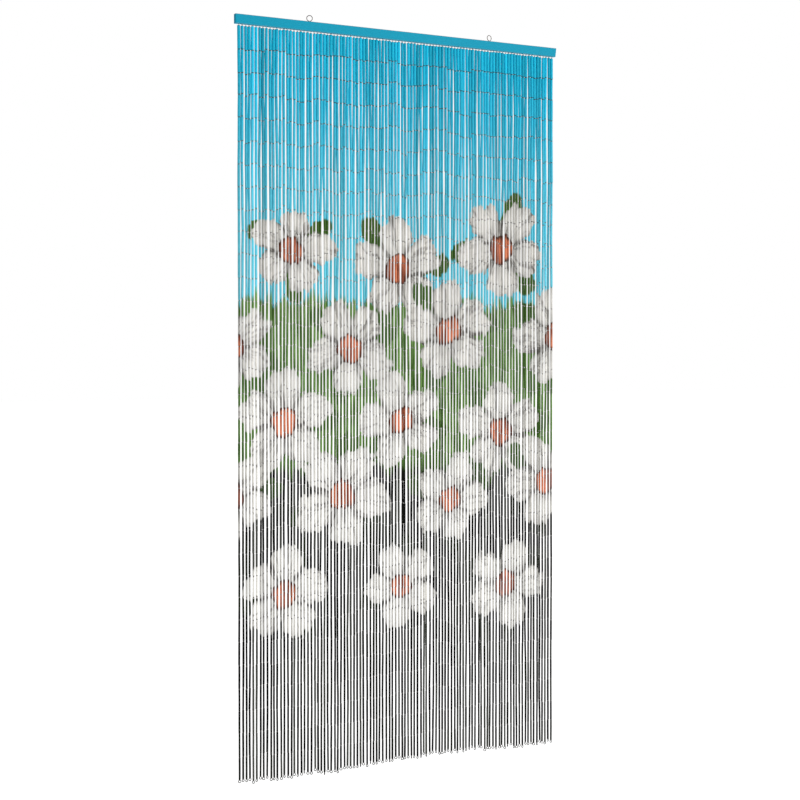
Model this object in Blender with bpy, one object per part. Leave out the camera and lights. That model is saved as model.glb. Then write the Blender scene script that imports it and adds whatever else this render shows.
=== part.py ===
"""Bamboo door curtain: a hundred strands of bamboo beads under a painted wooden rail.

The curtain hangs in the XZ plane with its front towards -Y. The rail hangs by two screw eyes,
and the origin lies midway between the centres of their rings. All lengths are in metres.
Each strand is a column that has the outline of its beads, from the hook at its top to the wire
ring at its foot, and all of them grow out of one narrow strip that stands for the row of hooks.
"""

import math
import random

import bmesh
import bpy
from mathutils import Matrix, Vector

GAP = 0.0003  # between pieces that touch

RAIL_LENGTH = 1.000
RAIL_DEPTH = 0.012
RAIL_HEIGHT = 0.025
RAIL_EDGE = 0.0008
RAIL_END_SLANT = 0.003  # the right-hand end is sawn out of square, shorter along the bottom

EYE_SPACING = 0.561
LEFT_OF_EYES = 0.214  # from the rail's left end to the left eye
EYE_WIRE = 0.002
EYE_OUTER = 0.017
EYE_RISE = 0.009  # from the rail's top to the centre of the ring
EYE_BEND = 0.0016  # radius of the bend where the shank turns into the ring
EYE_SHANK = 0.015  # the length that sits in the rail
EYE_MOUTH = math.radians(18)  # the ring's free end stops this far short of straight below
EYE_TURNS = (math.radians(-20), math.radians(10))  # how far each one was screwed round

STRANDS = 100
FIRST_STRAND = 0.0106  # from the rail's left end
LAST_STRAND = 0.0128  # from the rail's right end
DROP = 2.000  # from the rail's top to the foot of a strand of middling length
STRUNG_TOGETHER = (5, 14)  # how many neighbours end alike, at least and at most
UNEVEN_TOGETHER = 0.008
UNEVEN_FEET = 0.0045
BEADS_BELOW_RAIL = 0.0045
STRIP_DEPTHS = (0.0024, 0.0020)  # at the left and the right of each root, a shallow zigzag
STRIP_THICKNESS = 0.0015
HOOK_WIDTH = 0.0014

CANE_LEAST = 0.0042  # the cane narrows from the top down towards this, quickly at first
CANE_GAIN = 0.0042  # what it is thicker by at the rail's top
CANE_FALL = 0.90  # the depth over which that gain falls to a third or so
COLUMN_STEPS = (0.0, 0.15, 0.38, 0.67, 1.0)  # a column's sections, as shares of its length
LEAN = 0.0010  # the most that a strand's foot lies to one side of its hook
BOW = 0.0006  # the most that it stands out of line half-way down
HANGING_SEED = 5

FOOT_RING = 0.0086
FOOT_WIRE = 0.0014
RING_STEPS = (0.3, 0.7)  # where the ring is widest, as shares of its height
EDGE_ON_RINGS = 0.2  # the share of rings that are turned with their edge to the front
MOST_TURN = math.radians(30)  # how far each ring is twisted out of that

rail_left = -EYE_SPACING / 2 - LEFT_OF_EYES
rail_top = -EYE_RISE
rail_foot = rail_top - RAIL_HEIGHT
strip_top = rail_foot - GAP
beads_top = rail_foot - BEADS_BELOW_RAIL


def clear_scene():
    for obj in list(bpy.data.objects):
        bpy.data.objects.remove(obj, do_unlink=True)


def material(name, colour, roughness, metallic=0.0):
    made = bpy.data.materials.new(name)
    made.use_nodes = True
    shader = made.node_tree.nodes["Principled BSDF"]
    shader.inputs["Base Color"].default_value = (*colour, 1.0)
    shader.inputs["Roughness"].default_value = roughness
    shader.inputs["Metallic"].default_value = metallic
    return made


def new_object(name, data, finish):
    data.materials.append(finish)
    obj = bpy.data.objects.new(name, data)
    bpy.context.scene.collection.objects.link(obj)
    return obj


def mesh_from(bm, name):
    mesh = bpy.data.meshes.new(name)
    bm.to_mesh(mesh)
    bm.free()
    return mesh


def shank_hole(rail, eye_x):
    """A blind hole for one screw eye, cut from the rail's top."""
    depth = EYE_SHANK + GAP
    bm = bmesh.new()
    radius = EYE_WIRE / 2 + GAP
    bmesh.ops.create_cone(
        bm, cap_ends=True, segments=16, radius1=radius, radius2=radius, depth=2 * depth
    )
    cutter = bpy.data.objects.new("shank_hole", mesh_from(bm, "shank_hole"))
    cutter.location = (eye_x, 0, rail_top)
    cutter.hide_render = True
    cutter.display_type = "WIRE"
    bpy.context.scene.collection.objects.link(cutter)
    cut = rail.modifiers.new("shank hole", "BOOLEAN")
    cut.operation = "DIFFERENCE"
    cut.object = cutter


def build_rail(eye_places):
    """A planed batten with sanded edges, drilled for the two eyes."""
    bm = bmesh.new()
    bmesh.ops.create_cube(bm, size=1)
    bmesh.ops.scale(bm, vec=(RAIL_LENGTH, RAIL_DEPTH, RAIL_HEIGHT), verts=bm.verts)
    low_right = [v for v in bm.verts if v.co.x > 0 and v.co.z < 0]
    bmesh.ops.translate(bm, vec=(-RAIL_END_SLANT, 0, 0), verts=low_right)
    middle = (rail_left + RAIL_LENGTH / 2, 0, (rail_top + rail_foot) / 2)
    bmesh.ops.translate(bm, vec=middle, verts=bm.verts)
    paint = material("rail_paint", (0.013, 0.371, 0.561), 0.45)
    rail = new_object("rail", mesh_from(bm, "rail"), paint)
    edge = rail.modifiers.new("sanded edges", "BEVEL")
    edge.width = RAIL_EDGE
    edge.segments = 2
    for eye_x in eye_places:
        shank_hole(rail, eye_x)


def arc(centre, radius, start, end, steps):
    """Points in the XZ plane along an arc, from the start angle to the end angle."""
    angles = [start + (end - start) * k / steps for k in range(steps + 1)]
    return [centre + radius * Vector((math.cos(a), 0, math.sin(a))) for a in angles]


def eye_route():
    """The wire's middle line: up the shank, round a small bend and on round the ring."""
    ring_radius = (EYE_OUTER - EYE_WIRE) / 2
    bend_height = -math.sqrt(ring_radius**2 + 2 * ring_radius * EYE_BEND)
    bend_centre = Vector((EYE_BEND, 0, bend_height))
    to_ring = math.atan2(-bend_height, -EYE_BEND)
    shank_foot = Vector((0, 0, rail_top - EYE_SHANK))
    straight_down = math.radians(270)
    ring_start = to_ring - math.pi
    bend = arc(bend_centre, EYE_BEND, math.pi, to_ring, 6)
    ring = arc(Vector(), ring_radius, ring_start, straight_down - EYE_MOUTH, 30)
    return [shank_foot, *bend, *ring[1:]]


def build_eyes(eye_places):
    """Two like screw eyes, each one bent steel wire, their rings turned nearly to the front."""
    wire = bpy.data.curves.new("screw_eye", "CURVE")
    wire.dimensions = "3D"
    wire.bevel_depth = EYE_WIRE / 2
    wire.bevel_resolution = 3
    wire.use_fill_caps = True
    route = eye_route()
    spline = wire.splines.new("POLY")
    spline.points.add(len(route) - 1)
    for point, place in zip(spline.points, route):
        point.co = (*place, 1)
    steel = material("steel_wire", (0.30, 0.28, 0.26), 0.4, 1.0)
    for name, eye_x, turn in zip(("eye_left", "eye_right"), eye_places, EYE_TURNS):
        eye = new_object(name, wire.copy(), steel)
        eye.location.x = eye_x
        eye.rotation_euler.z = turn


def cane_width(depth):
    """How thick the beads are at this depth below the rail's top."""
    return CANE_LEAST + CANE_GAIN * math.exp(-depth / CANE_FALL)


def strand_places():
    first = rail_left + FIRST_STRAND
    pitch = (RAIL_LENGTH - FIRST_STRAND - LAST_STRAND) / (STRANDS - 1)
    return [first + pitch * i for i in range(STRANDS)]


def left_to_right(faces):
    return sorted(faces, key=lambda face: face.calc_center_median().x)


def hook_strip(places):
    """The strip under the rail, and the faces of its underside that the strands grow from."""
    bm = bmesh.new()
    bmesh.ops.create_grid(bm, x_segments=2 * STRANDS + 1, y_segments=1, size=0.5)
    margin = FIRST_STRAND / 2
    root_edges = [x + side * HOOK_WIDTH / 2 for x in places for side in (-1, 1)]
    edges = [places[0] - margin, *root_edges, places[-1] + margin]
    by_x = sorted(bm.verts, key=lambda v: v.co.x)
    for k, vert in enumerate(by_x):
        column = k // 2
        depth = STRIP_DEPTHS[column % 2]
        vert.co = (edges[column], vert.co.y * depth, strip_top - STRIP_THICKNESS)
    underside = left_to_right(bm.faces)
    raised = bmesh.ops.extrude_face_region(bm, geom=bm.faces[:], use_keep_orig=True)
    top = [v for v in raised["geom"] if isinstance(v, bmesh.types.BMVert)]
    bmesh.ops.translate(bm, vec=(0, 0, STRIP_THICKNESS), verts=top)
    return bm, underside[1::2]


def foot_heights(rng):
    """How high each strand's foot hangs. Neighbours that were strung together end alike."""
    heights = []
    while len(heights) < STRANDS:
        together = rail_top - DROP + rng.uniform(-UNEVEN_TOGETHER, UNEVEN_TOGETHER)
        for _ in range(rng.randint(*STRUNG_TOGETHER)):
            heights.append(together + rng.uniform(-UNEVEN_FEET, UNEVEN_FEET))
    return heights[:STRANDS]


def strand_sections(hook_x, foot, rng):
    """The strand's cross-sections below its root: middle, size along X, size along Y, turn about Z."""
    lean = Vector([rng.uniform(-LEAN, LEAN) for _ in "xy"])
    bow = Vector([rng.uniform(-BOW, BOW) for _ in "xy"])
    turn = rng.uniform(-MOST_TURN, MOST_TURN)
    edge_on = rng.random() < EDGE_ON_RINGS

    ring_top = foot + FOOT_RING
    length = beads_top - ring_top

    def middle(height):
        share = (beads_top - height) / length
        side = lean * share + bow * math.sin(math.pi * min(share, 1))
        return Vector((hook_x + side.x, side.y, height))

    sections = [(middle(beads_top), HOOK_WIDTH, HOOK_WIDTH, 0)]
    for share in COLUMN_STEPS:
        height = beads_top - share * length
        width = cane_width(rail_top - height)
        sections.append((middle(height), width, width, 0))
    sections.append((middle(ring_top), FOOT_WIRE, FOOT_WIRE, turn))
    flat = (FOOT_WIRE, FOOT_RING) if edge_on else (FOOT_RING, FOOT_WIRE)
    for share in RING_STEPS:
        sections.append((middle(ring_top - share * FOOT_RING), *flat, turn))
    sections.append((middle(foot), FOOT_WIRE, FOOT_WIRE, turn))
    return sections


def build_strands():
    """All the strands and the strip that they hang from, as one body."""
    places = strand_places()
    bm, roots = hook_strip(places)
    rng = random.Random(HANGING_SEED)
    feet = foot_heights(rng)
    rows = zip(*[strand_sections(x, foot, rng) for x, foot in zip(places, feet)])
    corners = ((-0.5, -0.5), (0.5, -0.5), (0.5, 0.5), (-0.5, 0.5))
    ends = roots
    for row in rows:
        ends = left_to_right(bmesh.ops.extrude_discrete_faces(bm, faces=ends)["faces"])
        for end, (middle, width, depth, turn) in zip(ends, row):
            spin = Matrix.Rotation(turn, 3, "Z")
            for vert, (x, y) in zip(end.verts, corners):
                vert.co = middle + spin @ Vector((x * width, y * depth, 0))
    bmesh.ops.recalc_face_normals(bm, faces=bm.faces)
    bamboo = material("painted_bamboo", (0.20, 0.42, 0.40), 0.6)
    new_object("strands", mesh_from(bm, "strands"), bamboo)


clear_scene()
eye_places = (-EYE_SPACING / 2, EYE_SPACING / 2)
build_rail(eye_places)
build_eyes(eye_places)
build_strands()
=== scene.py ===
"""A bamboo door curtain: strands of painted cane beads under a turquoise wooden rail.

The curtain hangs in the XZ plane with its front towards -Y, and the origin lies midway between
the centres of the two screw eyes. All lengths are in metres.
"""

import math
import random

import bpy
import numpy as np
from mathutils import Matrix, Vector


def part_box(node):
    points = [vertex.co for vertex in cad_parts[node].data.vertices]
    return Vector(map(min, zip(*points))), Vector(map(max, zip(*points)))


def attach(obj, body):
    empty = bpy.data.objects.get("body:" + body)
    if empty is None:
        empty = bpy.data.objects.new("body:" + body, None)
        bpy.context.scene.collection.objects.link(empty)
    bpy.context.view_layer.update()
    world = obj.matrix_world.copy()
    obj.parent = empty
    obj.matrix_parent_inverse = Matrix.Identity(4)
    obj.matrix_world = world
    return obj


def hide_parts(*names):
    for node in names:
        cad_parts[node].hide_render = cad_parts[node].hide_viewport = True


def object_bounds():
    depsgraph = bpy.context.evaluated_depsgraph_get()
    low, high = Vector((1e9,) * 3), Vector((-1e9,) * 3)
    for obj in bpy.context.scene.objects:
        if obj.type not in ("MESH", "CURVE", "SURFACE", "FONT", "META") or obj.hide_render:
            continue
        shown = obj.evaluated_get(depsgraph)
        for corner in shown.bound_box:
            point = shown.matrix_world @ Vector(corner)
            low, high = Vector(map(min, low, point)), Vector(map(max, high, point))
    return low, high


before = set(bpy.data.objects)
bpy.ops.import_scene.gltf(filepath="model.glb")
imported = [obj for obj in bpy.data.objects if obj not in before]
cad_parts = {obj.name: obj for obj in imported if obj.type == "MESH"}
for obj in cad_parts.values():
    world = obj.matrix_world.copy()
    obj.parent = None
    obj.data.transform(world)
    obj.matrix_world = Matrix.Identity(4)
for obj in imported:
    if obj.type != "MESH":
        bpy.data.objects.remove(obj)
cad_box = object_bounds()


# The rail is a planed softwood batten with sanded edges, brushed all over with turquoise paint.
# It is sawn to length, the right-hand end a little out of square, and wood shows where the
# paint has rubbed thin on the corners.

rail_low, rail_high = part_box("rail")
rail_top = rail_high.z
rail_foot = rail_low.z
RAIL_END_SLANT = 0.003
RAIL_EDGE = 0.0008
RAIL_EDGE_STEPS = 4
RAIL_FLAT_STEPS = (0.06, 0.5, 0.94)  # where a flat side has points, as shares of its width
RAIL_END_STEPS = (0.0, 0.08, 0.3, 0.62, 1.0)  # stations along an end's rounding, as shares of it
RAIL_STATIONS = 161
RAIL_UNEVEN = 0.00012
RAIL_WAVES = 20  # places along it where that is drawn anew
RAIL_SEED = 7
SMOOTH_UP_TO = math.radians(40)

RAIL_PAINT = (2, 146, 176)
RAIL_PAINT_THIN = (18, 158, 186)
RAIL_PAINT_SOAKED = (28, 108, 134)
BARE_SOFTWOOD = (176, 160, 128)
RAIL_WORN = 0.15  # how much bare wood shows where a corner is rubbed
PAINT_GATHERED = (0.45, 0.35)  # how much darker paint lies along the edges and on a sawn end
PAINT_SPECULAR = 0.1


def linear(colour, share=1.0):
    """A colour given as 0 to 255 as a screen shows it, as the light that a shader needs."""
    parts = [c / 255 for c in colour]
    light = [p / 12.92 if p <= 0.04045 else ((p + 0.055) / 1.055) ** 2.4 for p in parts]
    return (*[share * p for p in light], 1.0)


def feed(socket, value):
    """Sets a socket to a plain value, or links it to another socket."""
    source = value.socket if isinstance(value, Signal) else value
    if isinstance(source, bpy.types.NodeSocket):
        socket.id_data.links.new(source, socket)
    else:
        socket.default_value = source


def add_node(tree, kind, sockets=None, **settings):
    """A new shader node. sockets gives its inputs by name or number."""
    node = tree.nodes.new("ShaderNode" + kind)
    for name, value in settings.items():
        setattr(node, name, value)
    for place, value in (sockets or {}).items():
        feed(node.inputs[place], value)
    return node


class Signal:
    """A value that changes over a surface. A formula on it becomes the nodes that work it out."""

    def __init__(self, socket):
        self.socket = socket
        self.tree = socket.id_data

    def work(self, operation, *others, first=None):
        values = (self, *others) if first is None else (first, self)
        sockets = dict(enumerate(values))
        return Signal(add_node(self.tree, "Math", sockets, operation=operation).outputs[0])

    def __add__(self, other):
        return self.work("ADD", other)

    def __sub__(self, other):
        return self.work("SUBTRACT", other)

    def __rsub__(self, other):
        return self.work("SUBTRACT", first=other)

    def __mul__(self, other):
        return self.work("MULTIPLY", other)

    def __truediv__(self, other):
        return self.work("DIVIDE", other)

    def __pow__(self, other):
        return self.work("POWER", other)

    def __abs__(self):
        return self.work("ABSOLUTE")

    __radd__ = __add__
    __rmul__ = __mul__

    def rise(self, start, end):
        """0 up to start, 1 from end on, and smooth between them. start may be the greater."""
        sockets = {"Value": self, "From Min": start, "From Max": end}
        node = add_node(self.tree, "MapRange", sockets, interpolation_type="SMOOTHSTEP")
        return Signal(node.outputs["Result"])

    def blend(self, low, high, way="MIX"):
        """The colour low where this is 0, and high where it is 1, or high laid on low another way."""
        node = add_node(self.tree, "Mix", data_type="RGBA", blend_type=way)
        for place, value in zip((0, 6, 7), (self, low, high)):
            feed(node.inputs[place], value)
        return Signal(node.outputs[2])


def stretched(place, fineness):
    """A place scaled along each axis, so that a texture there draws out where fineness is small."""
    sockets = {0: place, 1: fineness}
    return add_node(place.id_data, "VectorMath", sockets, operation="MULTIPLY").outputs[0]


def noise(place, scale=1.0, detail=2.0, roughness=0.5):
    sockets = {"Vector": place, "Scale": scale, "Detail": detail, "Roughness": roughness}
    return Signal(add_node(place.id_data, "TexNoise", sockets).outputs["Fac"])


def new_group(name, inputs, outputs):
    """An empty group of shader nodes, the sockets that it is given and those that it gives."""
    tree = bpy.data.node_groups.new(name, "ShaderNodeTree")
    for in_out, sockets in (("INPUT", inputs), ("OUTPUT", outputs)):
        for socket, kind in sockets.items():
            tree.interface.new_socket(socket, in_out=in_out, socket_type="NodeSocket" + kind)
    given = tree.nodes.new("NodeGroupInput").outputs
    gives = tree.nodes.new("NodeGroupOutput").inputs
    return tree, given, gives


def use_group(tree, group, sockets):
    node = add_node(tree, "Group", node_tree=group)
    for name, value in sockets.items():
        feed(node.inputs[name], value)
    return {socket.name: Signal(socket) for socket in node.outputs}


def new_material(name):
    material = bpy.data.materials.new(name)
    material.use_nodes = True
    tree = material.node_tree
    return material, tree, tree.nodes["Principled BSDF"]


def attribute(tree, name):
    """The three numbers that a mesh carries at each point under this name."""
    vector = add_node(tree, "Attribute", attribute_name=name).outputs["Vector"]
    return [Signal(s) for s in add_node(tree, "SeparateXYZ", {0: vector}).outputs]


def relief(tree, height, distance, strength):
    sockets = {"Height": height, "Distance": distance, "Strength": strength}
    return add_node(tree, "Bump", sockets).outputs["Normal"]


streaks, given, gives = new_group(
    "streaks", {"Place": "Vector", "Fineness": "Vector"}, {"Tone": "Float", "Lines": "Float"}
)
drawn_out = stretched(given["Place"], given["Fineness"])
feed(gives["Tone"], noise(drawn_out, detail=4.0, roughness=0.6).rise(0.25, 0.75))
feed(gives["Lines"], noise(drawn_out, scale=2.7, detail=3.0, roughness=0.7).rise(0.52, 0.66))

wear, given, gives = new_group(
    "wear",
    {"Place": "Vector", "From edge": "Float", "Reach": "Float", "Fineness": "Float"},
    {"Worn": "Float"},
)
ragged = noise(given["Place"], given["Fineness"], detail=4.0, roughness=0.65)
reach = Signal(given["Reach"]) * (ragged * 2.6 - 0.6)
feed(gives["Worn"], (reach - given["From edge"]).rise(0.0, 0.0002))


def loft(name, rings, looped=False):
    """One mesh of like tubes. rings is shaped (tubes, rings along a tube, sides, 3)."""
    tubes, steps, sides, _ = rings.shape
    tube, step, side = np.ogrid[:tubes, : steps if looped else steps - 1, :sides]

    def point(step, side):
        return (tube * steps + step % steps) * sides + side % sides

    corners = [point(step + up, side + on) for up, on in ((0, 0), (0, 1), (1, 1), (1, 0))]
    faces = np.stack(np.broadcast_arrays(*corners), axis=-1).reshape(-1, 4).tolist()
    if not looped:
        first_ring = np.arange(sides)
        last_ring = first_ring + (steps - 1) * sides
        for start in range(0, tubes * steps * sides, steps * sides):
            faces += [(start + first_ring[::-1]).tolist(), (start + last_ring).tolist()]
    mesh = bpy.data.meshes.new(name)
    mesh.from_pydata(rings.reshape(-1, 3), [], faces)
    mesh.shade_smooth()
    mesh.set_sharp_from_angle(angle=SMOOTH_UP_TO)
    return mesh


def add_piece(mesh, material, node):
    """The object of a finished mesh, which rides with the part and stands for one of its nodes."""
    mesh.materials.append(material)
    piece = bpy.data.objects.new(mesh.name, mesh)
    bpy.context.scene.collection.objects.link(piece)
    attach(piece, "root")
    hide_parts(node)
    return piece


def carry(mesh, name, values):
    """Writes three numbers on each point of a mesh."""
    layer = mesh.attributes.new(name, "FLOAT_VECTOR", "POINT")
    layer.data.foreach_set("vector", np.ascontiguousarray(values, np.float32).ravel())


def batten_outline(depth, height):
    """The outline across the batten, as rows of y, z and how far each point lies from a corner."""
    outline = []
    for quarter, (side_y, side_z) in enumerate(((1, 1), (-1, 1), (-1, -1), (1, -1))):
        centre = Vector((side_y * (depth / 2 - RAIL_EDGE), side_z * (height / 2 - RAIL_EDGE)))
        for step in range(RAIL_EDGE_STEPS + 1):
            angle = (quarter + step / RAIL_EDGE_STEPS) * math.pi / 2
            y, z = centre + RAIL_EDGE * Vector((math.cos(angle), math.sin(angle)))
            outline.append((y, z, 0.0))
        corner = Vector((y, z))
        along = Vector((-math.sin(angle), math.cos(angle)))
        flat = (height if quarter % 2 else depth) - 2 * RAIL_EDGE
        for share in RAIL_FLAT_STEPS:
            y, z = corner + along * flat * share
            outline.append((y, z, min(share, 1 - share) * flat))
    return np.array(outline)


def build_rail():
    length, depth, height = rail_high - rail_low
    outline = batten_outline(depth, height)
    rounding = RAIL_EDGE * np.array(RAIL_END_STEPS)
    between = np.linspace(0, length, RAIL_STATIONS)[1:-1]
    along = np.concatenate([rounding, between, length - rounding[::-1]])
    to_end = np.minimum(along, length - along)[:, None]
    inset = RAIL_EDGE - np.sqrt(RAIL_EDGE**2 - np.clip(RAIL_EDGE - to_end, 0, None) ** 2)
    waves = np.random.default_rng(RAIL_SEED).uniform(-RAIL_UNEVEN, RAIL_UNEVEN, (2, RAIL_WAVES))
    knots = np.linspace(0, length, RAIL_WAVES)
    drift_y, drift_z = [np.interp(along, knots, wave)[:, None] for wave in waves]
    y = outline[:, 0] * (1 - 2 * inset / depth) + drift_y
    z = outline[:, 1] * (1 - 2 * inset / height) + drift_z
    short = RAIL_END_SLANT * (0.5 - outline[:, 1] / height)
    x = rail_low.x + along[:, None] * (1 - short / length)
    mesh = loft("rail_batten", np.stack([x, y, z + (rail_top + rail_foot) / 2], axis=-1)[None])
    from_edge = np.minimum(outline[:, 2], to_end)
    carry(mesh, "from_edge", np.repeat(from_edge.reshape(-1, 1), 3, axis=1))
    return mesh


rail_paint, tree, shader = new_material("rail_paint")
place = add_node(tree, "TexCoord").outputs["Object"]
facing = add_node(tree, "SeparateXYZ", {0: add_node(tree, "TexCoord").outputs["Normal"]}).outputs
from_edge = attribute(tree, "from_edge")[0]
sawn = abs(Signal(facing["X"])).rise(0.5, 0.8)
brushed = use_group(tree, streaks, {"Place": place, "Fineness": (9, 620, 620)})
wood = use_group(tree, streaks, {"Place": place, "Fineness": (14, 420, 420)})
rubbed = use_group(
    tree, wear, {"Place": place, "From edge": from_edge, "Reach": 0.0004, "Fineness": 240}
)
worn = rubbed["Worn"] * (1.0 - sawn) * RAIL_WORN
thin = brushed["Tone"] * 0.3 + wood["Lines"] * 0.15
coat = thin.blend(linear(RAIL_PAINT), linear(RAIL_PAINT_THIN))
along_edge, on_end = PAINT_GATHERED
gathered = (from_edge.rise(0.0009, 0.0) * along_edge).work("MAXIMUM", sawn * on_end)
coat = gathered.blend(coat, linear(RAIL_PAINT_SOAKED))
feed(shader.inputs["Base Color"], worn.blend(coat, linear(BARE_SOFTWOOD)))
feed(shader.inputs["Roughness"], 0.42 + brushed["Tone"] * 0.12 + worn * 0.3 + sawn * 0.2)
shader.inputs["Specular IOR Level"].default_value = PAINT_SPECULAR
surface = brushed["Tone"] * 0.6 + wood["Lines"] * 0.4
feed(shader.inputs["Normal"], relief(tree, surface, 0.00015, 0.6))

add_piece(build_rail(), rail_paint, "rail")


# The two screw eyes are bent from round steel wire: a shank that screws into the rail's top,
# a small bend, and a ring whose free end stops short of the bend. The wire is dull, and it has
# browned a little where it was bent and where it enters the wood.

EYE_SPACING = 0.561
EYE_WIRE = 0.002
EYE_OUTER = 0.017
EYE_BEND = 0.0016
EYE_SHANK = 0.013  # as much of it as is drawn inside the rail
EYE_MOUTH = math.radians(18)
EYE_TURNS = (math.radians(-20), math.radians(10))  # how far each one was screwed round
EYE_SIDES = 14
EYE_TIP = (1.0, 0.97, 0.88, 0.7, 0.4)  # how the wire's cut end is rounded, as shares of its width
EYE_TIP_STEP = 0.00022
EYE_POINT = (0.3, 0.6, 0.85)  # how the shank narrows to its point, as shares of its width
SHANK_STEPS, EYE_BEND_STEPS, EYE_RING_STEPS = 6, 8, 72

DULL_STEEL = (128, 121, 116)
BROWNED_STEEL = (82, 64, 54)


def arc(centre, radius, start, end, steps):
    """Points on an arc in the XZ plane."""
    angles = np.linspace(start, end, steps + 1)
    around = np.stack([np.cos(angles), 0 * angles, np.sin(angles)], axis=-1)
    return np.array(centre) + radius * around


def wire_rings(paths, normals, widths, sides, looped=False):
    """Rings of points along flat bent wires. paths is shaped (wires, points, 3), and each wire's
    normal stands square to the plane that it lies in."""
    if looped:
        ahead = np.roll(paths, -1, axis=1) - np.roll(paths, 1, axis=1)
    else:
        ahead = np.gradient(paths, axis=1)
    ahead /= np.linalg.norm(ahead, axis=-1, keepdims=True)
    normals = np.broadcast_to(normals[:, None], paths.shape)
    across = np.cross(ahead, normals)
    turns = np.linspace(0, 2 * math.pi, sides, endpoint=False)[:, None]
    round_wire = np.cos(turns) * normals[:, :, None] + np.sin(turns) * across[:, :, None]
    radii = np.broadcast_to(widths, paths.shape[:2])[:, :, None, None] / 2
    return paths[:, :, None] + radii * round_wire


def build_eye(name, eye_x, turn):
    ring_radius = (EYE_OUTER - EYE_WIRE) / 2
    bend_height = -math.sqrt(ring_radius**2 + 2 * ring_radius * EYE_BEND)
    to_ring = math.atan2(-bend_height, -EYE_BEND)
    shank = np.linspace((0, 0, rail_top - EYE_SHANK), (0, 0, bend_height), SHANK_STEPS, endpoint=False)
    bend = arc((EYE_BEND, 0, bend_height), EYE_BEND, math.pi, to_ring, EYE_BEND_STEPS)
    ring_end = math.radians(270) - EYE_MOUTH
    ring = arc((0, 0, 0), ring_radius, to_ring - math.pi, ring_end, EYE_RING_STEPS)
    tip_turn = EYE_TIP_STEP * (len(EYE_TIP) - 1) / ring_radius
    tip = arc((0, 0, 0), ring_radius, ring_end, ring_end + tip_turn, len(EYE_TIP) - 1)
    route = np.concatenate([shank, bend, ring[1:], tip[1:]])
    widths = np.full(len(route), EYE_WIRE)
    widths[-len(EYE_TIP) :] *= EYE_TIP
    widths[: len(EYE_POINT)] *= EYE_POINT
    rings = wire_rings(route[None], np.array([(0.0, -1.0, 0.0)]), widths, EYE_SIDES)
    cos, sin = math.cos(turn), math.sin(turn)
    spin = np.array([(cos, sin, 0), (-sin, cos, 0), (0, 0, 1)])
    return loft(name, rings @ spin + (eye_x, 0, 0))


eye_steel, tree, shader = new_material("eye_steel")
place = add_node(tree, "TexCoord").outputs["Object"]
drawn = use_group(tree, streaks, {"Place": place, "Fineness": (900, 3000, 900)})
stain = noise(place, 260.0, detail=3.0).rise(0.5, 0.72)
height = Signal(add_node(tree, "SeparateXYZ", {0: place}).outputs["Z"])
browned = (stain * 0.45 + height.rise(-0.004, -0.0095) * 0.5).work("MINIMUM", 0.8)
steel = (drawn["Tone"] * 0.3).blend(linear(DULL_STEEL), linear(BROWNED_STEEL))
feed(shader.inputs["Base Color"], browned.blend(steel, linear(BROWNED_STEEL)))
feed(shader.inputs["Roughness"], 0.34 + drawn["Lines"] * 0.12 + browned * 0.25)
shader.inputs["Metallic"].default_value = 1.0
feed(shader.inputs["Normal"], relief(tree, drawn["Lines"], 0.00005, 0.4))

for side, eye_x, turn in zip(("left", "right"), (-EYE_SPACING / 2, EYE_SPACING / 2), EYE_TURNS):
    eye = build_eye(f"screw_eye_{side}", eye_x, turn)
    add_piece(eye, eye_steel, f"eye_{side}")


# A row of small wire staples is driven into the underside of the rail, one for each strand. The
# strand's top link hangs in the staple, a quarter turn from it. They are of dark iron wire.

STRANDS = 100
FIRST_STRAND = 0.0106  # from the rail's left end
LAST_STRAND = 0.0128  # from the rail's right end
BEADS_BELOW_RAIL = 0.0045
beads_top = rail_foot - BEADS_BELOW_RAIL

LINK_RADIUS = 0.00135  # of a link's middle line
LINK_WIRE = 0.0013
LINK_SUNK = 0.0022  # how far a link sits in the mouth of its bead's bore
STAPLE_WIRE = 0.0008
STAPLE_WIDTH = 0.0028
STAPLE_IN_WOOD = 0.002
STAPLE_TURN = 0.25  # how far each is turned out of line, at most, in radians
STAPLE_ASIDE = 0.0004  # how far each is driven in beside its even place, at most
STAPLE_SIDES = 6
STAPLE_STEPS = 6
STAPLE_TURN_SEED = 3
STAPLE_PLACE_SEED = 5
UNEVEN_TOP = 0.0011  # how much higher or lower a strand's first bead hangs, at most
UNEVEN_TOP_SEED = 6

IRON_WIRE = (58, 56, 54)
IRON_WIRE_DARK = (26, 25, 24)

strand_x = np.linspace(rail_low.x + FIRST_STRAND, rail_high.x - LAST_STRAND, STRANDS)
rng = np.random.default_rng(STAPLE_PLACE_SEED)
strand_x += rng.uniform(-STAPLE_ASIDE, STAPLE_ASIDE, STRANDS)
rng = np.random.default_rng(UNEVEN_TOP_SEED)
first_bead = beads_top + rng.uniform(-UNEVEN_TOP, UNEVEN_TOP, STRANDS)


def turned(flat, turns):
    """Copies of points in the XZ plane, turned about the Z axis, and which way each copy faces."""
    cos, sin = np.cos(turns)[:, None], np.sin(turns)[:, None]
    x, z = np.broadcast_arrays(flat[:, 0], flat[:, 2])
    copies = np.stack([cos * x, sin * x, np.broadcast_to(z, (len(turns), len(z)))], axis=-1)
    facings = np.concatenate([sin, -cos, 0 * sin], axis=-1)
    return copies, facings


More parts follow.
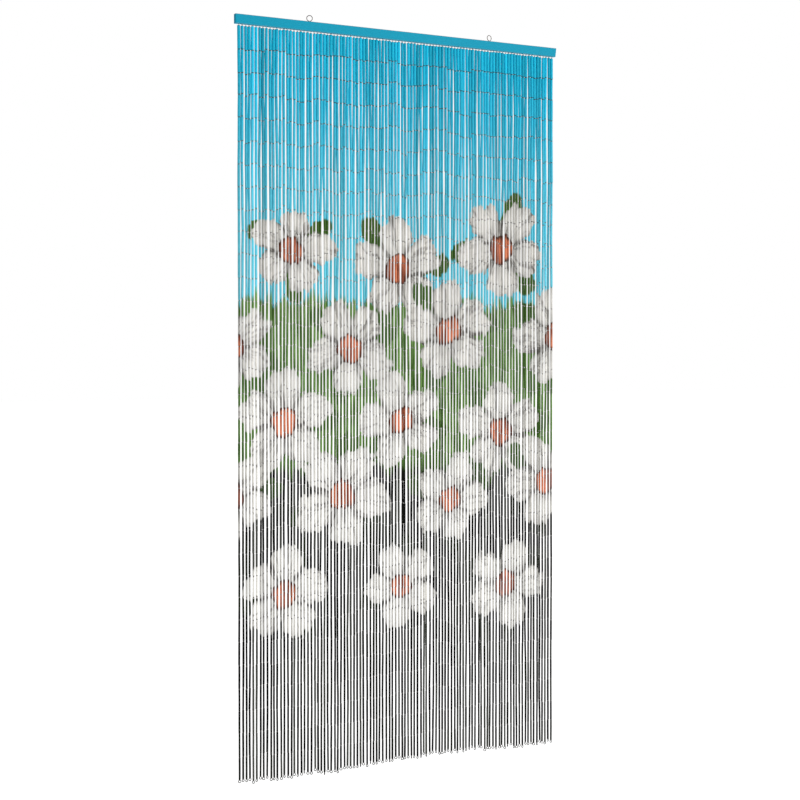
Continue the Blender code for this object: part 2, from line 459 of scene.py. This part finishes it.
def build_staples():
    link_top = LINK_WIRE / 2 + 2 * LINK_RADIUS - LINK_SUNK
    lowest = link_top - (LINK_WIRE + STAPLE_WIRE) / 2
    half = STAPLE_WIDTH / 2
    bend = arc((0, 0, lowest + half), half, math.pi, 2 * math.pi, STAPLE_STEPS)
    route = np.concatenate([bend[:1], bend, bend[-1:]])
    turns = np.random.default_rng(STAPLE_TURN_SEED).uniform(-STAPLE_TURN, STAPLE_TURN, STRANDS)
    paths, facings = turned(route, turns)
    paths[:, :, 0] += strand_x[:, None]
    paths[:, :, 2] += first_bead[:, None]
    paths[:, [0, -1], 2] = rail_foot + STAPLE_IN_WOOD
    return loft("rail_staples", wire_rings(paths, facings, STAPLE_WIRE, STAPLE_SIDES))


link_wire, tree, shader = new_material("iron_wire")
place = add_node(tree, "TexCoord").outputs["Object"]
scale = noise(place, 700.0, detail=2.0).rise(0.35, 0.7)
rust = noise(place, 90.0, detail=3.0).rise(0.45, 0.75)
iron = scale.blend(linear(IRON_WIRE), linear(IRON_WIRE_DARK))
feed(shader.inputs["Base Color"], (rust * 0.15).blend(iron, linear(BROWNED_STEEL)))
feed(shader.inputs["Roughness"], 0.4 + scale * 0.2)
shader.inputs["Metallic"].default_value = 1.0

add_piece(build_staples(), link_wire, "strands")


# Each strand hangs from its staple nearly plumb, and a little aside where it clings to another.
# Its beads are cut to unlike lengths, those of neighbours in a row often alike, so the rows of
# links step up and down, and no two feet end quite level.

DROP = 2.000  # from the rail's top to the foot of a strand of middling length
STRUNG_TOGETHER = (5, 14)  # how many neighbours end alike, at least and at most
UNEVEN_TOGETHER = 0.008
UNEVEN_FEET = 0.0045
LEAN = 0.0010
BOW = 0.0006
MOST_TURN = math.radians(30)
EDGE_ON_RINGS = 0.2  # the share of foot rings that are turned edge-on
FOOT_RING = 0.0086
HANGING_SEED = 5

BEADS = 33  # on each strand
LINKED_GAP = 4 * LINK_RADIUS - 2 * LINK_SUNK
CUT_TOGETHER = (2, 9)  # how many neighbours in a row have beads cut alike
UNEVEN_CUT = 0.0025
UNEVEN_BEAD = 0.0008
CUT_SEED = 11
PAINT_SLIP = (0.0040, 0.0030)  # since it was painted, how far neighbours and each strand slipped

CANE_LEAST = 0.0048  # the cane narrows from the top down towards this, quickly at first
CANE_GAIN = 0.0040  # what it is thicker by at the rail's top
CANE_FALL = 0.90  # the depth over which that gain falls to a third or so
ASIDE = (0.0011, 0.0010)  # how far strands hang to the side and forwards or back, near the top
ASIDE_AT_FOOT = 0.4  # how much of that is left at the foot
ASIDE_KNOTS = 12  # the places down a strand where that is drawn anew
PUSHES = 14  # rounds of pushing overlapping neighbours apart


def draw_feet(rng):
    """How high each strand's foot hangs. Neighbours that were strung together end alike."""
    heights = []
    while len(heights) < STRANDS:
        together = rail_top - DROP + rng.uniform(-UNEVEN_TOGETHER, UNEVEN_TOGETHER)
        for _ in range(rng.randint(*STRUNG_TOGETHER)):
            heights.append(together + rng.uniform(-UNEVEN_FEET, UNEVEN_FEET))
    return np.array(heights[:STRANDS])


def draw_hanging(rng):
    """The lean and the bow of each strand to the side and forwards, and its foot ring's turn."""
    rows = []
    for _ in range(STRANDS):
        sideways = [rng.uniform(-reach, reach) for reach in (LEAN, LEAN, BOW, BOW)]
        turn = rng.uniform(-MOST_TURN, MOST_TURN)
        edge_on = rng.random() < EDGE_ON_RINGS
        rows.append((*sideways, turn + edge_on * math.pi / 2))
    return np.array(rows)


def cane_width(depth):
    """How thick the beads are at this depth below the rail's top."""
    return CANE_LEAST + CANE_GAIN * np.exp(-depth / CANE_FALL)


def draw_aside(rng):
    """How far strands stand aside at some depths, pushed apart before lean and bow are added."""
    fading = np.linspace(1, ASIDE_AT_FOOT, ASIDE_KNOTS)[:, None]
    aside = rng.normal(0, 1, (STRANDS, ASIDE_KNOTS, 2)) * ASIDE * fading
    aside[:, 0] = 0
    thickness = cane_width(np.linspace(rail_top - beads_top, DROP, ASIDE_KNOTS))
    for _ in range(PUSHES):
        spacing = np.diff(strand_x[:, None] + aside[:, :, 0], axis=0)
        push = np.clip(thickness - spacing, 0, None) / 2
        aside[:-1, :, 0] -= push
        aside[1:, :, 0] += push
    return aside


def alike(rng, unevenness):
    """A number for each strand that is the same for a few neighbours."""
    numbers = []
    while len(numbers) < STRANDS:
        numbers += [rng.normal(0, unevenness)] * rng.integers(*CUT_TOGETHER)
    return np.array(numbers[:STRANDS])


rng = random.Random(HANGING_SEED)
foot = draw_feet(rng)
hanging = draw_hanging(rng)
lean, bow, ring_turn = hanging[:, 0:2], hanging[:, 2:4], hanging[:, 4]
beads_foot = foot + FOOT_RING

rng = np.random.default_rng(CUT_SEED)
aside = draw_aside(rng)
unlike = np.stack([alike(rng, UNEVEN_CUT) for _ in range(BEADS)], axis=1)
unlike += rng.normal(0, UNEVEN_BEAD, unlike.shape)
for_beads = first_bead - beads_foot - (BEADS - 1) * LINKED_GAP
bead_length = unlike + ((for_beads - unlike.sum(axis=1)) / BEADS)[:, None]
above = np.cumsum(bead_length + LINKED_GAP, axis=1) - bead_length - LINKED_GAP
bead_high = first_bead[:, None] - above
bead_low = bead_high - bead_length
paint_slip = alike(rng, PAINT_SLIP[0]) + rng.normal(0, PAINT_SLIP[1], STRANDS)


def strand_line(heights):
    """Where each strand's middle line is at these heights, which are shaped (strands, heights)."""
    share = ((beads_top - heights) / (beads_top - beads_foot)[:, None])[..., None]
    side = lean[:, None] * share + bow[:, None] * np.sin(math.pi * np.minimum(share, 1))
    knot, past = np.divmod(np.clip(share, 0, 1) * (ASIDE_KNOTS - 1), 1)
    strand = np.arange(STRANDS)[:, None]
    above = knot[..., 0].astype(int)
    below = np.minimum(above + 1, ASIDE_KNOTS - 1)
    side += aside[strand, above] * (1 - past) + aside[strand, below] * past
    return np.stack([strand_x[:, None] + side[..., 0], side[..., 1], heights], axis=-1)


# The beads are short lengths of thin bamboo cane, sawn square, with a wide bore and slightly
# softened rims. Thicker canes are used above and thinner ones below. The strands were painted
# after stringing, so bare cane shows on the sawn ends, at their rims. Further in, the ends and the
# bore are painted near-black as painted shade, and the paint just beside each end is darkened
# as painted shade of the joint between beads.

CANE_UNEVEN = 0.045  # how unlike the canes are, as a share of their thickness
BORE = 0.0042
MOST_BORE = 0.8  # of a thin cane's thickness
RIM = 0.0003
BEAD_SIDES = 12
CANE_BOW = 0.00012
OUT_OF_LINE = 0.0003  # how far a bead's end sits beside its link
TONE_UNEVEN = (0.85, 0.35)  # how unlike in lightness strands are, and beads on one strand
BEADS_SEED = 100  # and the number of a piece's first strand
STRANDS_TOGETHER = 10  # in one piece
BAKE_ROWS = 30
BEAD_BAKE_SHARES = (0.02, 0.02, 0.44, 0.44, 0.02, 0.02, 0.04)  # of the map, along the profile
BAKE_MARGIN = 0.05  # of a tube's place on the map


def add_bake_map(mesh, shape, shares, rows):
    """A map on which every looped tube has its own oblong place, its length across the map."""
    tubes, steps, sides, _ = shape
    columns = math.ceil(tubes / rows)
    column, row = np.divmod(np.arange(tubes), rows)
    edges = np.concatenate([[0], np.cumsum(shares) / np.sum(shares)])
    u = np.stack([edges[:-1], edges[:-1], edges[1:], edges[1:]], axis=-1)[None, :, None]
    v = (np.arange(sides)[:, None] + np.array([0, 1, 1, 0])) / sides
    place = np.zeros((tubes, steps, sides, 4, 2))
    place[..., 0] = BAKE_MARGIN + (1 - 2 * BAKE_MARGIN) * u
    place[..., 1] = BAKE_MARGIN + (1 - 2 * BAKE_MARGIN) * v[None, None]
    place[..., 0] = (place[..., 0] + column[:, None, None, None]) / columns
    place[..., 1] = (place[..., 1] + row[:, None, None, None]) / rows
    mesh.uv_layers.new(name="OFBake").uv.foreach_set("vector", place.astype(np.float32).ravel())


def build_beads(name, strands):
    """The beads of some neighbouring strands as one mesh."""
    high, low = bead_high[strands].ravel(), bead_low[strands].ravel()
    rng = np.random.default_rng(BEADS_SEED + strands.start)
    count = len(high)
    top = strand_line(bead_high)[strands].reshape(-1, 3)
    foot = strand_line(bead_low)[strands].reshape(-1, 3)
    top[:, :2] += rng.uniform(-OUT_OF_LINE, OUT_OF_LINE, (count, 2))
    foot[:, :2] += rng.uniform(-OUT_OF_LINE, OUT_OF_LINE, (count, 2))

    unevenness = np.clip(rng.normal(0, CANE_UNEVEN, count), -2 * CANE_UNEVEN, 2 * CANE_UNEVEN)
    radius = cane_width(rail_top - (high + low) / 2) / 2 * (1 + unevenness)
    taper = rng.uniform(-CANE_UNEVEN, CANE_UNEVEN, (count, 2)) / 2
    bore = np.minimum(BORE / 2, MOST_BORE * radius)
    length = high - low

    outer_foot, outer_top = radius * (1 + taper[:, 0]), radius * (1 + taper[:, 1])
    profile = (
        (0 * length, bore),
        (0 * length, outer_foot - RIM),
        (RIM + 0 * length, outer_foot),
        (length / 2, radius),
        (length - RIM, outer_top),
        (length, outer_top - RIM),
        (length, bore),
    )
    up = np.stack([u for u, _ in profile], axis=1)
    wide = np.stack([r for _, r in profile], axis=1)
    middle = foot[:, None] + (top - foot)[:, None] * (up / length[:, None])[..., None]
    bowed = rng.uniform(-CANE_BOW, CANE_BOW, (count, 2))
    middle[:, 3, :2] += bowed

    axis = (top - foot) / np.linalg.norm(top - foot, axis=-1, keepdims=True)
    spin = rng.uniform(0, 2 * math.pi, count)
    start = np.stack([np.cos(spin), np.sin(spin), 0 * spin], axis=-1)
    start -= (start * axis).sum(axis=-1, keepdims=True) * axis
    start /= np.linalg.norm(start, axis=-1, keepdims=True)
    beside = np.cross(axis, start)
    oval = 1 + rng.uniform(-CANE_UNEVEN, CANE_UNEVEN, count)
    turns = np.linspace(0, 2 * math.pi, BEAD_SIDES, endpoint=False)[:, None]
    outward = np.cos(turns) * (start * oval[:, None])[:, None]
    outward = outward + np.sin(turns) * (beside / oval[:, None])[:, None]
    rings = middle[:, :, None] + wide[:, :, None, None] * outward[:, None]
    mesh = loft(name, rings, looped=True)

    slip = np.repeat(paint_slip[strands], BEADS)[:, None, None]
    hook = np.repeat(strand_x[strands], BEADS)[:, None, None]
    beside_line = rings[..., 0] - middle[:, :, None, 0]
    painted_at = np.stack(
        [hook + beside_line, rings[..., 1], rings[..., 2] - rail_top + slip], axis=-1
    )
    carry(mesh, "painted_at", painted_at.reshape(-1, 3))
    strand_tone = rng.normal(0, TONE_UNEVEN[0], STRANDS_TOGETHER)
    tone = np.repeat(strand_tone, BEADS) + rng.normal(0, TONE_UNEVEN[1], count)
    from_end = np.minimum(up, length[:, None] - up)
    in_bore = np.zeros_like(up)
    in_bore[:, [0, -1]] = 1
    values = np.stack([np.repeat(tone[:, None], len(profile), axis=1), from_end, in_bore], axis=-1)
    carry(mesh, "cane", np.repeat(values[:, :, None], BEAD_SIDES, axis=2).reshape(-1, 3))
    add_bake_map(mesh, rings.shape, BEAD_BAKE_SHARES, BAKE_ROWS)
    return mesh


# The paint. Soft bands of blue, green and near-black run across the strands, dry-brushed where
# they meet. On them stand white five-petalled blossoms in a half-drop repeat, each with an
# orange-brown heart and a few leaves behind it.

ACROSS_PITCH = 1 / 3
DOWN_PITCH = 0.44
FIRST_ROW = 0.60
BLOSSOM_RADIUS = 0.146
BLOSSOM_ASIDE = 0.020  # how far a blossom may stand beside its place in the repeat
HEART_RADIUS = 0.039
PETALS = 5
LEAVES = 3
BLUE_ENDS = 0.72
GREEN_ENDS = 1.17
FULL_ROWS = 3
HALF_DROP_ROWS = 2
HAND_WOBBLE = (0.020, 0, 0.034)  # how far a painted outline wanders, across and down
PAINT_CHIPPED = 0.3  # how much cane shows where the paint has chipped beside an end
# painted shade of the joint: how far from a sawn end the paint darkens, and how much
JOINT_SHADE_REACH = 0.0012
JOINT_SHADE_STRENGTH = 0.75

BLUE_TOP = (20, 171, 202)
BLUE_FOOT = (96, 188, 206)
GREEN_LIGHT = (106, 142, 76)
GREEN_DARK = (60, 92, 34)
CHARCOAL = (8, 9, 7)
CHARCOAL_THIN = (66, 68, 62)
CHARCOAL_GREEN = (34, 40, 26)
PETAL_WHITE = (207, 205, 199)
PETAL_SHADE = (96, 93, 88)
HEART_ORANGE = (204, 122, 88)
HEART_BROWN = (124, 66, 48)
HEART_RIM = (60, 36, 28)
BARE_CANE = (160, 136, 100)
# painted shade: the bore and most of each sawn end are painted near-black, for the shade inside the
# bore and between beads
BORE_SHADE = (30, 24, 18)
# painted shade of the joint, laid on the paint beside each sawn end
JOINT_SHADE = (34, 30, 26)

blossoms, given, gives = new_group(
    "blossoms",
    {"Place": "Vector", "First": "Vector", "Rows": "Float"},
    {"Petals": "Float", "Shade": "Float", "Heart": "Float", "Rim": "Float", "Leaves": "Float"},
)
x, _, z = [Signal(s) for s in add_node(blossoms, "SeparateXYZ", {0: given["Place"]}).outputs]
first_x, _, first_down = [
    Signal(s) for s in add_node(blossoms, "SeparateXYZ", {0: given["First"]}).outputs
]
columns_on = (x - first_x) / ACROSS_PITCH
rows_on = (0.0 - z - first_down) / DOWN_PITCH
column = (columns_on + 0.5).work("FLOOR")
row = (rows_on + 0.5).work("FLOOR")
number = add_node(blossoms, "CombineXYZ", {"X": column, "Y": row, "Z": first_x}).outputs[0]
drawn_lots = add_node(blossoms, "TexWhiteNoise", {"Vector": number}).outputs["Color"]
lots = [Signal(s) for s in add_node(blossoms, "SeparateXYZ", {0: drawn_lots}).outputs]
chance = lots[2]
across = (columns_on - column) * ACROSS_PITCH + (lots[0] - 0.5) * 2 * BLOSSOM_ASIDE
down = (rows_on - row) * DOWN_PITCH + (lots[1] - 0.5) * 4 * BLOSSOM_ASIDE
grown = (row.work("GREATER_THAN", -0.5)) * (row.work("LESS_THAN", Signal(given["Rows"]) - 0.5))
from_heart = (across * across + down * down).work("SQRT")
angle = down.work("ARCTAN2", across) + chance * 2 * math.pi
size = BLOSSOM_RADIUS * (0.78 + chance * 0.22)
lobes = abs((angle * PETALS / 2).work("COSINE"))
uneven = noise(given["Place"], 9.0) * 0.5 + noise(given["Place"], 34.0, detail=3.0) * 0.34
petal_edge = size * (0.50 + 0.50 * lobes**0.55) * (uneven + 0.58)
petals = (from_heart / petal_edge).rise(1.0, 0.965) * grown
leaf_lobes = abs((angle * LEAVES / 2 + chance * 9).work("COSINE"))
leaf_edge = size * 1.22 * leaf_lobes**4
leaves = (from_heart / leaf_edge).rise(1.0, 0.94) * grown
vein_place = add_node(
    blossoms, "CombineXYZ", {"X": angle * 7, "Y": from_heart * 9, "Z": chance * 40}
).outputs[0]
veins = noise(vein_place, 1.0, detail=3.0, roughness=0.65).rise(0.50, 0.66)
hollow = lobes.rise(0.5, 0.05)
near_heart = (from_heart / size).rise(0.62, 0.3)
turned_up = (from_heart / petal_edge).rise(0.72, 1.0)
shade = veins * 0.6 + hollow * 0.55 + near_heart * 0.3 + turned_up * 0.25
shade = shade.work("MINIMUM", 1.0)
heart_size = HEART_RADIUS * (0.92 + chance * 0.16)
feed(gives["Petals"], petals)
feed(gives["Shade"], shade)
feed(gives["Heart"], (from_heart / heart_size).rise(1.0, 0.95) * grown)
feed(gives["Rim"], (from_heart / heart_size).rise(0.66, 0.98))
feed(gives["Leaves"], leaves)

painted_cane, tree, shader = new_material("painted_cane")
place = add_node(tree, "TexCoord").outputs["Object"]
painted_at = add_node(tree, "Attribute", attribute_name="painted_at").outputs["Vector"]
tone, from_end, in_bore = attribute(tree, "cane")
wobble = add_node(tree, "TexNoise", {"Vector": painted_at, "Scale": 22.0, "Detail": 3.0})
wobble = stretched(wobble.outputs["Color"], HAND_WOBBLE)
hand_drawn = add_node(tree, "VectorMath", {0: painted_at, 1: wobble}, operation="ADD").outputs[0]
down = 0.0 - Signal(add_node(tree, "SeparateXYZ", {0: hand_drawn}).outputs["Z"])

dabs = noise(stretched(painted_at, (60, 60, 9)), 1.0, detail=4.0, roughness=0.6)
dry_edge = (dabs - 0.5) * 0.16
blue = down.rise(0.0, BLUE_ENDS).blend(linear(BLUE_TOP), linear(BLUE_FOOT))
green = dabs.rise(0.35, 0.65).blend(linear(GREEN_DARK), linear(GREEN_LIGHT))
patches = noise(painted_at, 6.0).rise(0.45, 0.65)
charcoal = (patches * 0.6).blend(linear(CHARCOAL), linear(CHARCOAL_GREEN))
charcoal = tone.rise(0.3, 1.1).blend(charcoal, linear(CHARCOAL_THIN))
ground = (down + dry_edge - BLUE_ENDS).rise(-0.012, 0.012).blend(blue, green)
ground = (down + dry_edge - GREEN_ENDS).rise(-0.02, 0.02).blend(ground, charcoal)

in_dark = down.rise(GREEN_ENDS - 0.1, GREEN_ENDS + 0.2)
leaf = in_dark.blend(linear(GREEN_DARK), linear(CHARCOAL_GREEN))
full = (0, FIRST_ROW, FULL_ROWS)
half_drop = (ACROSS_PITCH / 2, FIRST_ROW + DOWN_PITCH / 2, HALF_DROP_ROWS)
for first_x, first_down, rows in (full, half_drop):
    sockets = {"Place": hand_drawn, "First": (first_x, 0, first_down), "Rows": rows}
    blossom = use_group(tree, blossoms, sockets)
    petal = blossom["Shade"].blend(linear(PETAL_WHITE), linear(PETAL_SHADE))
    heart = dabs.rise(0.4, 0.6).blend(linear(HEART_BROWN), linear(HEART_ORANGE))
    heart = blossom["Rim"].blend(heart, linear(HEART_RIM))
    ground = blossom["Leaves"].blend(ground, leaf)
    ground = blossom["Petals"].blend(ground, petal)
    ground = blossom["Heart"].blend(ground, heart)

fibres = use_group(tree, streaks, {"Place": place, "Fineness": (1500, 1500, 45)})
strokes = use_group(tree, streaks, {"Place": place, "Fineness": (420, 420, 60)})
lightness = 1.06 + tone * 0.13 + (strokes["Tone"] - 0.5) * 0.2 - fibres["Lines"] * 0.08
coat = add_node(tree, "VectorMath", {0: ground, "Scale": lightness}, operation="SCALE").outputs[0]
# painted shade: the paint darkens towards each sawn end, standing for the shade in the joint between
# beads
joint_shade = (from_end + (fibres["Tone"] - 0.5) * 0.0006).rise(JOINT_SHADE_REACH, 0.0002) * JOINT_SHADE_STRENGTH
coat = joint_shade.blend(coat, linear(JOINT_SHADE))
chipped = use_group(
    tree, wear, {"Place": place, "From edge": from_end, "Reach": 0.0004, "Fineness": 420}
)
cane = fibres["Tone"].blend(linear(BARE_CANE), linear(BARE_CANE, 0.7))
# painted shade: from just inside each end's rim, the cane is painted near-black for the shade in the
# bore
cane = in_bore.rise(0.0, 0.3).blend(cane, linear(BORE_SHADE))
bare = (chipped["Worn"] * PAINT_CHIPPED).work("MAXIMUM", in_bore.rise(0.0, 0.1))
feed(shader.inputs["Base Color"], bare.blend(coat, cane))
matte = down.rise(BLUE_ENDS, GREEN_ENDS) * 0.4 + strokes["Tone"] * 0.1
feed(shader.inputs["Roughness"], 0.4 + matte)
shader.inputs["Specular IOR Level"].default_value = PAINT_SPECULAR
surface = fibres["Lines"] * 0.5 + strokes["Tone"] * 0.5
feed(shader.inputs["Normal"], relief(tree, surface, 0.0001, 0.5))

for start in range(0, STRANDS, STRANDS_TOGETHER):
    together = slice(start, start + STRANDS_TOGETHER)
    mesh = build_beads(f"beads_{start:02d}", together)
    add_piece(mesh, painted_cane, "strands")


# The beads are linked by the looped ends of the wires that run through them. The loop under one
# bead holds the loop on top of the next, a quarter turn from it.

LINK_STEPS = 8
LINK_SIDES = 3
LINK_TURN = 0.35  # how far from a quarter turn they stand, at most, in radians
LINKS_SEED = 500  # and the number of a piece's first strand
LINK_BAKE_ROWS = 26


def build_rings(name, centres, turns, radius, wire, steps, sides, rows):
    """Closed wire rings that stand upright, each turned its own way."""
    circle = arc((0, 0, 0), radius, 0, 2 * math.pi, steps)[:-1]
    paths, facings = turned(circle, turns)
    rings = wire_rings(paths + centres[:, None], facings, wire, sides, looped=True)
    mesh = loft(name, rings, looped=True)
    add_bake_map(mesh, rings.shape, np.ones(steps), rows)
    return mesh


def build_links(name, strands):
    rng = np.random.default_rng(LINKS_SEED + strands.start)
    reach = LINK_RADIUS + LINK_WIRE / 2 - LINK_SUNK
    upper = strand_line(bead_low - reach)[strands, :-1]
    lower = strand_line(bead_high + reach)[strands]
    lower_turn = rng.uniform(0, math.pi, lower.shape[:2])
    lower_turn[:, 0] = math.pi / 2 + rng.uniform(-LINK_TURN, LINK_TURN, len(lower))
    upper_turn = lower_turn[:, 1:] + math.pi / 2
    upper_turn += rng.uniform(-LINK_TURN, LINK_TURN, upper_turn.shape)
    centres = np.concatenate([upper.reshape(-1, 3), lower.reshape(-1, 3)])
    turns = np.concatenate([upper_turn.ravel(), lower_turn.ravel()])
    sizes = (LINK_RADIUS, LINK_WIRE, LINK_STEPS, LINK_SIDES)
    return build_rings(name, centres, turns, *sizes, LINK_BAKE_ROWS)


for start in range(0, STRANDS, STRANDS_TOGETHER):
    together = slice(start, start + STRANDS_TOGETHER)
    mesh = build_links(f"wire_links_{start:02d}", together)
    add_piece(mesh, link_wire, "strands")


# The last wire of each strand is bent into a larger ring under the lowest bead, which it holds.
# The rings hang free: most face more or less forwards, and some have turned edge-on.

FOOT_WIRE = 0.0020
FOOT_STEPS = 24
FOOT_SIDES = 6
FOOT_BAKE_ROWS = 10

ring_radius = (FOOT_RING - FOOT_WIRE) / 2
centres = strand_line((foot + FOOT_RING / 2)[:, None])[:, 0]
sizes = (ring_radius, FOOT_WIRE, FOOT_STEPS, FOOT_SIDES)
foot_rings = build_rings("foot_rings", centres, ring_turn, *sizes, FOOT_BAKE_ROWS)
add_piece(foot_rings, link_wire, "strands")


# A pale floor lies below the hem, under soft white studio light. The brightest light comes from
# the right, so that the left side of each bead is in shade.

FLOOR_BELOW_HEM = 0.06
FLOOR_SIZE = 60.0
FLOOR_WHITE = 0.9
FLOOR_GLOW = 0.85
FLOOR_ROUGHNESS = 0.8
AMBIENT = 0.36
KEY_PLACE = (8.6, -11.0, 1.8)
KEY_SIZE = 7.5
KEY_POWER = 870.0
LOOK_AT = (0.0, 0.0, -1.0)


def add_floor():
    mesh = bpy.data.meshes.new("floor")
    half = FLOOR_SIZE / 2
    height = cad_box[0].z - FLOOR_BELOW_HEM
    corners = [(x * half, y * half, height) for x, y in ((-1, -1), (1, -1), (1, 1), (-1, 1))]
    mesh.from_pydata(corners, [], [(0, 1, 2, 3)])
    material, _, shader = new_material("floor")
    shader.inputs["Base Color"].default_value = (FLOOR_WHITE, FLOOR_WHITE, FLOOR_WHITE, 1)
    shader.inputs["Roughness"].default_value = FLOOR_ROUGHNESS
    shader.inputs["Emission Color"].default_value = (1, 1, 1, 1)
    shader.inputs["Emission Strength"].default_value = FLOOR_GLOW
    mesh.materials.append(material)
    floor = bpy.data.objects.new("floor", mesh)
    bpy.context.scene.collection.objects.link(floor)


def add_world():
    """White all round: full white where the camera looks, and softer as light on the curtain."""
    world = bpy.data.worlds.new("studio")
    world.use_nodes = True
    tree = world.node_tree
    seen = tree.nodes["Background"]
    seen.inputs["Color"].default_value = (1, 1, 1, 1)
    lit = add_node(tree, "Background", {"Color": (1, 1, 1, 1), "Strength": AMBIENT})
    to_camera = add_node(tree, "LightPath").outputs["Is Camera Ray"]
    sky = add_node(tree, "MixShader", {0: to_camera, 1: lit.outputs[0], 2: seen.outputs[0]})
    tree.links.new(sky.outputs[0], tree.nodes["World Output"].inputs["Surface"])
    bpy.context.scene.world = world


def add_light(name, place, size, power):
    light = bpy.data.lights.new(name, "AREA")
    light.size = size
    light.energy = power
    lamp = bpy.data.objects.new(name, light)
    lamp.location = place
    lamp.rotation_euler = (Vector(LOOK_AT) - Vector(place)).to_track_quat("-Z", "Y").to_euler()
    bpy.context.scene.collection.objects.link(lamp)


add_floor()
add_world()
add_light("key", KEY_PLACE, KEY_SIZE, KEY_POWER)
bpy.context.scene.view_settings.view_transform = "Standard"


# The camera stands to the left of the curtain, at the height of its middle.

CAMERA_PLACE = (-2.1215, -3.815, -0.867)
CAMERA_YAW = math.radians(29.0)
CAMERA_PITCH = math.radians(0.86)
CAMERA_LENS = 71.7
CAMERA_SHIFT = -0.0375

camera_data = bpy.data.cameras.new("camera")
camera_data.lens = CAMERA_LENS
camera_data.shift_y = CAMERA_SHIFT
camera = bpy.data.objects.new("camera", camera_data)
camera.location = CAMERA_PLACE
camera.rotation_euler = (math.pi / 2 - CAMERA_PITCH, 0, -CAMERA_YAW)
bpy.context.scene.collection.objects.link(camera)
bpy.context.scene.camera = camera
